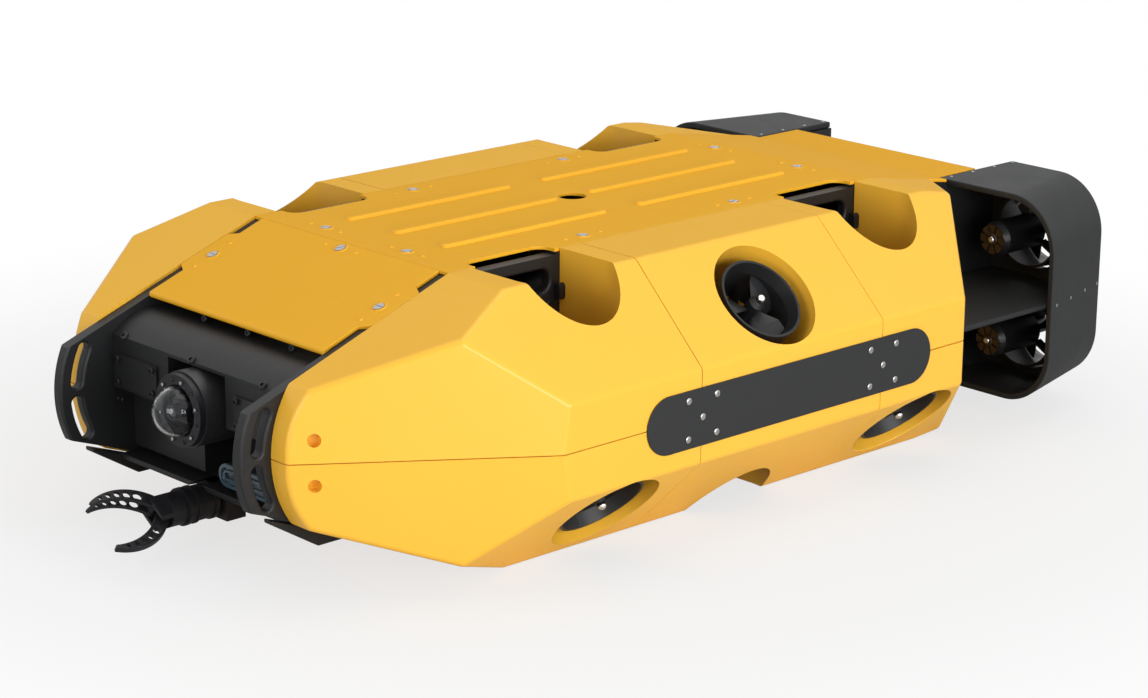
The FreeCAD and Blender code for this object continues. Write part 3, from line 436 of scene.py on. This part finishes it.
def lathe(bm, profile, steps=32, place=Matrix.Identity(4)):
    """Ring of faces round local Z through (radius, height) points in millimetres; ends on the axis close."""
    rings = []
    for radius, height in profile:
        if radius < 1e-6:
            rings.append([bm.verts.new(place @ Vector((0, 0, height * MM)))])
            continue
        ring = []
        for i in range(steps):
            a = 2 * math.pi * i / steps
            point = Vector((radius * MM * math.cos(a), radius * MM * math.sin(a), height * MM))
            ring.append(bm.verts.new(place @ point))
        rings.append(ring)
    for low, high in zip(rings, rings[1:]):
        for i in range(steps):
            j = (i + 1) % steps
            corners = [low[i % len(low)], low[j % len(low)], high[j % len(high)], high[i % len(high)]]
            unique = []
            for v in corners:
                if v not in unique:
                    unique.append(v)
            if len(unique) > 2:
                bm.faces.new(unique)


def stand(point, normal, spin=0.0):
    """Frame at a point in millimetres with local Z along the normal."""
    turn = Vector(normal).normalized().to_track_quat("Z", "Y").to_matrix().to_4x4()
    return Matrix.Translation(Vector(point) * MM) @ turn @ Matrix.Rotation(math.radians(spin), 4, "Z")


def prism(bm, outline, low, high, place):
    """Closed outline in millimetres pushed up from low to high."""
    below = [bm.verts.new(place @ Vector((x * MM, y * MM, low * MM))) for x, y in outline]
    above = [bm.verts.new(place @ Vector((x * MM, y * MM, high * MM))) for x, y in outline]
    bm.faces.new(list(reversed(below)))
    bm.faces.new(above)
    for i in range(len(outline)):
        j = (i + 1) % len(outline)
        bm.faces.new([below[i], below[j], above[j], above[i]])


def slotted_head(bm, place, radius, height, gap):
    """Round head with a driver slot: a base disc and two half discs above it, their rims broken."""
    floor = height * 0.45
    edge = height - 0.35
    inner = radius - 0.6
    lathe(bm, [(0.0, 0.0), (radius, 0.0), (radius, floor), (0.0, floor)], 28, place)
    start = math.asin(gap / 2 / radius)
    arc = [start + (math.pi - 2 * start) * k / 14 for k in range(15)]
    for way in (1, -1):
        low = [(radius * math.cos(a), way * radius * math.sin(a)) for a in arc]
        top = [(inner * math.cos(a), way * max(gap / 2, inner * math.sin(a))) for a in arc]
        prism(bm, low, floor, edge, place)
        prism(bm, top, edge, height, place)


def socket_head(bm, place, radius, height, hexagon):
    """Button head with a hexagon recess, given by the distance from its middle to a corner."""
    steps = 24
    turns = [2 * math.pi * i / steps for i in range(steps)]
    levels = [([r] * steps, h) for r, h in ((radius, 0.0), (radius, height * 0.5),
                                            (radius * 0.82, height * 0.9), (hexagon * 1.25, height))]
    flats = [hexagon * math.cos(math.pi / 6) / math.cos((a % (math.pi / 3)) - math.pi / 6) for a in turns]
    levels += [(flats, height), (flats, height * 0.35)]
    rings = []
    for reach, h in levels:
        points = [Vector((r * MM * math.cos(a), r * MM * math.sin(a), h * MM)) for r, a in zip(reach, turns)]
        rings.append([bm.verts.new(place @ point) for point in points])
    for low, high in zip(rings, rings[1:]):
        for i in range(steps):
            j = (i + 1) % steps
            bm.faces.new([low[i], low[j], high[j], high[i]])
    bm.faces.new(rings[-1])
    bm.faces.new(list(reversed(rings[0])))


def stadium(length, height, steps=14):
    """Outline of a bar with round ends, centred on the origin, counter-clockwise."""
    r = height / 2
    half = length / 2 - r
    out = []
    for cx, start in ((half, -90), (-half, 90)):
        for k in range(steps + 1):
            a = math.radians(start + 180.0 * k / steps)
            out.append((cx + r * math.cos(a), r * math.sin(a)))
    return out


def ring_prism(bm, outer, inner, low, high, place):
    """Flat ring between two outlines with the same number of points."""
    rows = []
    for outline, level in ((outer, low), (outer, high), (inner, high), (inner, low)):
        rows.append([bm.verts.new(place @ Vector((x * MM, y * MM, level * MM))) for x, y in outline])
    for a, b in zip(rows, rows[1:] + rows[:1]):
        for i in range(len(outer)):
            j = (i + 1) % len(outer)
            bm.faces.new([a[i], a[j], b[j], b[i]])


# ---- fittings ----
def ball_nuts():
    """Polished round nut on the outlet end of every propeller hub."""
    ball = 5.2
    neck = 3.8
    drop = 0.2               # ball sunk in its seat
    seat = 24.0 - PROP_DEPTH
    base = -5.5
    profile = [(0.0, 4.9)]
    for k in range(1, 12):
        a = math.pi / 2 - k * math.radians(14)
        profile.append((ball * math.cos(a), ball * math.sin(a) - drop))
    profile += [(neck, base), (0.0, base)]
    profile = [(r, h + seat) for r, h in profile]
    for side, name, place in thruster_places():
        bm = bmesh.new()
        lathe(bm, profile, 24)
        mesh_object(side + "_nut_" + name, bm, POLISHED, side + "_propeller_" + name, place)


ball_nuts()


def bow_holes():
    """Blind screw holes cut in the bow taper of all four front blocks, above and below the split line."""
    graph = bpy.context.evaluated_depsgraph_get()
    mouth_x = 214.0
    mouth_y = -565.2
    from_split = 25.0        # hole above or below the split line
    radius = 7.4
    profile = [(0.0, -13.0), (5.5, -13.0), (radius, -10.0), (radius, 9.0), (0.0, 9.0)]
    for side, sign in SIDES:
        for part, up in (("upper", 1), ("lower", -1)):
            skin = SKINS[f"{side}_fairing_front_{part}"]
            facet = (sign * 0.809, -0.578, up * 0.104)
            drill = bmesh.new()
            lathe(drill, profile, 36, stand((sign * mouth_x, mouth_y, MID_Z + up * from_split), facet))
            bmesh.ops.recalc_face_normals(drill, faces=drill.faces)
            tool_mesh = bpy.data.meshes.new("drill")
            drill.to_mesh(tool_mesh)
            drill.free()
            tool = bpy.data.objects.new("drill", tool_mesh)
            blank = bpy.data.objects.new("blank", skin.data)
            for obj in (tool, blank):
                scene.collection.objects.link(obj)
            cut = blank.modifiers.new("hole", "BOOLEAN")
            cut.operation = "DIFFERENCE"
            cut.solver = "EXACT"
            cut.object = tool
            graph.update()
            skin.data = bpy.data.meshes.new_from_object(blank.evaluated_get(graph))
            for obj in (tool, blank):
                bpy.data.objects.remove(obj)
            bpy.data.meshes.remove(tool_mesh)


bow_holes()


def duct_shelf():
    """Shelf of both ducts: a full plate from the stern face of the fairing to the back of the duct."""
    inner = PLATE_OUTER + 0.4
    outer_front = 338.4
    outer_back = 300.5
    inner_start = 462.0      # front edge, set back along the stern taper of the fairing
    outer_start = 322.2
    outline = [(inner, inner_start), (outer_front, outer_start), (outer_front, DUCT_FRONT),
               (outer_back, DUCT_BACK), (inner, DUCT_BACK)]
    bm = bmesh.new()
    for _, sign in SIDES:
        sheet = [(sign * x, y) for x, y in outline]
        prism(bm, sheet, MID_Z - SHELF_THICK / 2, MID_Z + SHELF_THICK / 2, Matrix.Identity(4))
    shelf = mesh_object("duct_shelf_plates", bm, FINISH["duct_black"])
    edge_round = shelf.modifiers.new("round edge", "BEVEL")
    edge_round.width = 2.8 * MM
    edge_round.segments = 4
    edge_round.limit_method = "ANGLE"
    edge_round.angle_limit = math.radians(38)
    shelf.modifiers.new("even shading", "WEIGHTED_NORMAL")
    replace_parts(shelf, "duct_shelves")


duct_shelf()


def on_slope(x, along):
    """Point and normal on the nose slope, a distance down it from the crease."""
    point = (x, -DECK_FRONT - along * math.cos(SLOPE), HEIGHT - along * math.sin(SLOPE))
    return point, (0, -math.sin(SLOPE), math.cos(SLOPE))


def deck_fittings():
    """Slotted quarter-turn heads, each in a raised yellow ring between two rivets."""
    end_x = 72.0
    edge_x = 149.0
    edge_y = 123.0
    front_inset = 25.0       # heads at the deck's front and rear from the creases
    rear_inset = 20.0
    slope_edge = 84.0        # heads on the nose slope, down from the crease
    slope_middle = 12.0
    rivet_out = 27.0         # head to the rivet on each side
    up = (0, 0, 1)
    spots = []
    for sign in (-1, 1):
        spots += [((sign * end_x, -DECK_FRONT + front_inset, HEIGHT), up, "across"),
                  ((sign * edge_x, -edge_y, HEIGHT), up, "along"),
                  ((sign * edge_x, edge_y, HEIGHT), up, "along"),
                  ((sign * end_x, DECK_REAR - rear_inset, HEIGHT), up, "across"),
                  (*on_slope(sign * edge_x, slope_edge), "down")]
    spots.append((*on_slope(0.0, slope_middle), "across"))
    heads, rings = bmesh.new(), bmesh.new()
    for number, (point, normal, row) in enumerate(spots):
        seat = stand(point, normal)
        turned = seat @ Matrix.Rotation(math.radians(25 + 37 * number), 4, "Z")
        slotted_head(heads, turned, 6.3, 1.3, 1.7)
        lathe(rings, [(6.6, 0.0), (7.2, 0.9), (8.2, 0.9), (9.0, 0.0)], 32, seat)
        for end in (-rivet_out, rivet_out):
            if row == "down":
                offset = seat @ Matrix.Translation((0, end * MM, 0))
            elif row == "along":
                offset = Matrix.Translation((0, end * MM, 0)) @ seat
            else:
                offset = Matrix.Translation((end * MM, 0, 0)) @ seat
            lathe(rings, [(2.9, 0.0), (2.5, 0.8), (1.4, 1.3), (0.0, 1.45)], 16, offset)
    screws = mesh_object("deck_quarter_turns", heads, FINISH["stainless"])
    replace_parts(screws, "deck_fasteners")
    mesh_object("deck_rivets", rings, FINISH["hull_yellow"])


deck_fittings()


def plate_screws():
    """Five button heads at each seam of the bare side plates."""
    pitch = 22.0
    bm = bmesh.new()
    for _, sign in SIDES:
        for seam in (-SEAM_HALF, SEAM_HALF):
            for dy, dz in ((0, 0), (1, 1), (1, -1), (-1, 1), (-1, -1)):
                spot = (sign * (SIDE_HALF + NAME_THICK), seam + dy * pitch, MID_Z + dz * pitch)
                socket_head(bm, stand(spot, (sign, 0, 0), 20 * dy + 11), 3.9, 1.2, 1.7)
    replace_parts(mesh_object("side_plate_screws", bm, FINISH["stainless"]), "nameplate_screws")


plate_screws()


def nose_bolts():
    """Black socket heads on the nose drum, its cheek, the cover plates and the lower edge of the slope."""
    rise = math.radians(48)
    cover_face = NOSE_FACE + 5.0
    bm = bmesh.new()
    for x in (-135.0, -9.0, 118.0):
        spot = (x, NOSE_Y - DRUM_RADIUS * math.cos(rise), MID_Z + DRUM_RADIUS * math.sin(rise))
        socket_head(bm, stand(spot, (0, -math.cos(rise), math.sin(rise))), 5.2, 3.0, 2.4)
    for x in (-149.0, -141.0):
        socket_head(bm, stand((x, NOSE_Y - NOSE_FACE - 1.0, MID_Z - 14.0), (0, -1, 0)), 2.6, 1.6, 1.2)
    for cover_edge in (-148.0, 71.0):
        for dx in (6.0, 71.0):
            for dz in (8.0, 35.0):
                spot = (cover_edge + dx, NOSE_Y - cover_face, MID_Z + dz)
                socket_head(bm, stand(spot, (0, -1, 0)), 3.9, 2.2, 1.8)
    for x in (-61.0, 18.0, 96.0):
        edge = on_slope(x, 168.0)[0]
        socket_head(bm, stand((x, edge[1] + 2, edge[2] - 14), (0, -1, 0.35)), 4.2, 2.4, 2.0)
    mesh_object("nose_bolts", bm, FINISH["anodised_black"])


nose_bolts()


def lamp_rims():
    """Glossy rims round the dark windows of the lamp."""
    place = stand((86.0, NOSE_Y - 48.0, MID_Z - 60.0), (0, -1, 0))
    bm = bmesh.new()
    ring_prism(bm, stadium(117, 26), stadium(110, 19), 0.0, 1.6, place)
    ring_prism(bm, stadium(103, 12), stadium(98, 7), -1.0, 0.8, place)
    mesh_object("lamp_rims", bm, RIM)


lamp_rims()


def camera_fittings():
    """Every second screw of the dome ring, in bright steel, and the glass of the tilting camera."""
    front = NOSE_Y - NOSE_FACE - CAMERA_AHEAD
    ring_face = front - 9.7
    lens_seat = front + 4.0 - 19.6
    pitch_radius = 35.0
    bm = bmesh.new()
    for i in range(0, 12, 2):
        a = math.radians(30 * i + 15)
        spot = (pitch_radius * math.cos(a), ring_face, CAMERA_Z + pitch_radius * math.sin(a))
        socket_head(bm, stand(spot, (0, -1, 0)), 1.9, 1.0, 0.9)
    mesh_object("dome_ring_screws", bm, FINISH["stainless"])
    bm = bmesh.new()
    lathe(bm, [(0.0, 1.6), (3.0, 1.35), (5.0, 0.6), (6.2, -0.6), (6.2, -2.0), (0.0, -2.0)], 32)
    mesh_object("camera_lens", bm, LENS, "camera_tilt", stand((0, lens_seat, CAMERA_Z), (0, -1, 0)))


camera_fittings()


def motor_caps():
    """Slotted brown end bells, darkened as painted shade, with a hexagon screw on the inboard end of every
    motor.
    """
    vanes = 8
    hub = 8.0
    rim = 18.5
    for side, name, place in thruster_places():
        bell, screw = bmesh.new(), bmesh.new()
        back = place @ Matrix.Translation((0, 0, -POD_END * MM)) @ Matrix.Rotation(math.pi, 4, "X")
        for k in range(vanes):
            middle = math.radians(360 / vanes * k)
            inner = [(hub, middle + 0.20 * t) for t in (-1, -0.5, 0, 0.5, 1)]
            outer = [(rim, middle + 0.30 * t) for t in (1, 0.5, 0, -0.5, -1)]
            outline = [(r * math.cos(a), r * math.sin(a)) for r, a in inner + outer]
            prism(bell, outline, 0.0, 1.6, back)
        lathe(bell, [(0.0, 2.4), (6.5, 2.4), (7.6, 1.4), (7.6, 0.0), (0.0, 0.0)], 28, back)
        socket_head(screw, back @ Matrix.Translation((0, 0, 2.3 * MM)), 4.2, 2.6, 2.0)
        mesh_object(f"{side}_motor_bell_{name}", bell, VARNISH_AND_PAINTED_SHADE)
        mesh_object(f"{side}_motor_bolt_{name}", screw, FINISH["stainless"])


motor_caps()


def duct_screws():
    """Slotted screws along the shelf line and along the inner top edge of both ducts."""
    lean = (DUCT_SIDE_FRONT - DUCT_SIDE_BACK) / (DUCT_BACK - DUCT_FRONT)
    flange_x = 166.0
    bm = bmesh.new()
    for _, sign in SIDES:
        for y in (504.0, 546.0, 589.0, 626.0):
            side_x = DUCT_SIDE_FRONT - lean * (y - DUCT_FRONT)
            slotted_head(bm, stand((sign * side_x, y, MID_Z), (sign, lean, 0), 40), 2.2, 0.8, 0.7)
            top = stand((sign * flange_x, y, HEIGHT - TAIL_DROP), (0, 0, 1), 70)
            slotted_head(bm, top, 2.2, 0.8, 0.7)
    mesh_object("duct_screws", bm, FINISH["stainless"])


duct_screws()


def bar_latches():
    """Latch blocks beside the lifting bars and the plain bolts under them."""
    block_x = PLATE_OUTER + 6.0
    block_z = HEIGHT - 48.5
    block_out = 62.0         # block and bolt from the middle of the bar
    bolt_out = 52.0
    bolt_z = HEIGHT - 62.0
    outline = [(a * 1.15, b) for a, b in stadium(17, 8)]
    blocks, bolts = bmesh.new(), bmesh.new()
    for _, sign in SIDES:
        for y in (-THRUSTER_PITCH, THRUSTER_PITCH):
            for end in (-1, 1):
                seat = stand((sign * block_x, y + end * block_out, block_z), (0, -end, 0), 90)
                prism(blocks, outline, -4.0, 5.0, seat)
                seat = stand((sign * PLATE_OUTER, y + end * bolt_out, bolt_z), (sign, 0, 0))
                socket_head(bolts, seat, 4.6, 1.2, 2.4)
    mesh_object("bar_latches", blocks, FINISH["frame_black"])
    mesh_object("bar_bolts", bolts, FINISH["anodised_black"])


bar_latches()


# ---- floor, light and camera ----
def pale_floor():
    """Pale floor that keeps the shadow near the vehicle and goes to white further out."""
    bm = bmesh.new()
    bmesh.ops.create_grid(bm, x_segments=1, y_segments=1, size=30.0)
    mesh = bpy.data.meshes.new("studio floor")
    bm.to_mesh(mesh)
    bm.free()
    floor = bpy.data.objects.new("studio_floor", mesh)
    floor.location.z = -0.0006
    scene.collection.objects.link(floor)
    material, tree, shader = shell_material("pale floor")
    shader.inputs["Base Color"].default_value = (0.7, 0.7, 0.7, 1)
    shader.inputs["Roughness"].default_value = 0.9
    shader.inputs["Specular IOR Level"].default_value = 0.1
    path = add_node(tree, "ShaderNodeLightPath")
    glow = add_node(tree, "ShaderNodeEmission", None, {"Color": (1, 1, 1, 1), "Strength": 1.0})
    blend = add_node(tree, "ShaderNodeMixShader")
    place = add_node(tree, "ShaderNodeTexCoord").outputs["Object"]
    away = add_node(tree, "ShaderNodeVectorMath", {"operation": "LENGTH"})
    tree.links.new(place, away.inputs[0])
    far = add_node(tree, "ShaderNodeMapRange", {"interpolation_type": "SMOOTHSTEP"},
                   {"From Min": 0.5, "From Max": 1.3, "To Min": 0.72, "To Max": 1.0})
    tree.links.new(away.outputs["Value"], far.inputs["Value"])
    white = maths(tree, "MULTIPLY", path.outputs["Is Camera Ray"], far.outputs["Result"])
    tree.links.new(white, blend.inputs[0])
    tree.links.new(shader.outputs[0], blend.inputs[1])
    tree.links.new(glow.outputs[0], blend.inputs[2])
    tree.links.new(blend.outputs[0], tree.nodes["Material Output"].inputs["Surface"])
    mesh.materials.append(material)


def white_world():
    """Soft even light; the camera, glossy faces and clear parts see it as white."""
    world = bpy.data.worlds.new("studio")
    world.use_nodes = True
    scene.world = world
    tree = world.node_tree
    tree.nodes.clear()
    path = add_node(tree, "ShaderNodeLightPath")
    soft = add_node(tree, "ShaderNodeBackground", None, {"Color": (1, 1, 1, 1), "Strength": 0.42})
    white = add_node(tree, "ShaderNodeBackground", None, {"Color": (1, 1, 1, 1), "Strength": 1.0})
    seen = maths(tree, "MAXIMUM", path.outputs["Is Camera Ray"], path.outputs["Is Transmission Ray"])
    seen = maths(tree, "MAXIMUM", seen, path.outputs["Is Glossy Ray"])
    blend = add_node(tree, "ShaderNodeMixShader")
    out = add_node(tree, "ShaderNodeOutputWorld")
    tree.links.new(seen, blend.inputs[0])
    tree.links.new(soft.outputs[0], blend.inputs[1])
    tree.links.new(white.outputs[0], blend.inputs[2])
    tree.links.new(blend.outputs[0], out.inputs[0])


def lamp(name, spot, target, size, power):
    """Softbox at a spot in metres, turned to its target."""
    data = bpy.data.lights.new(name, "AREA")
    data.shape = "RECTANGLE"
    data.size, data.size_y = size
    data.energy = power
    obj = bpy.data.objects.new(name, data)
    obj.location = spot
    obj.rotation_euler = (Vector(target) - Vector(spot)).to_track_quat("-Z", "Y").to_euler()
    scene.collection.objects.link(obj)


def camera():
    """Long lens off the port bow, looking down on the deck."""
    data = bpy.data.cameras.new("camera")
    data.lens = 95.4
    data.sensor_width = 36.0
    obj = bpy.data.objects.new("camera", data)
    heading = Matrix.Rotation(math.radians(46.79), 4, "Z")
    pitch = Matrix.Rotation(math.radians(73.62), 4, "X")
    roll = Matrix.Rotation(math.radians(0.43), 4, "Z")
    obj.matrix_world = Matrix.Translation((2.5859, -2.4243, 1.1668)) @ heading @ pitch @ roll
    scene.collection.objects.link(obj)
    scene.camera = obj


pale_floor()
white_world()
lamp("port softbox", (3.2, -0.4, 0.75), (0.2, 0.0, 0.15), (2.6, 1.1), 70.0)
lamp("bow softbox", (0.9, -3.2, 0.9), (0.0, -0.3, 0.15), (1.4, 0.9), 21.0)
lamp("overhead softbox", (0.2, 0.4, 3.0), (0.0, 0.1, 0.2), (2.4, 2.4), 25.0)
camera()
scene.view_settings.view_transform = "Standard"
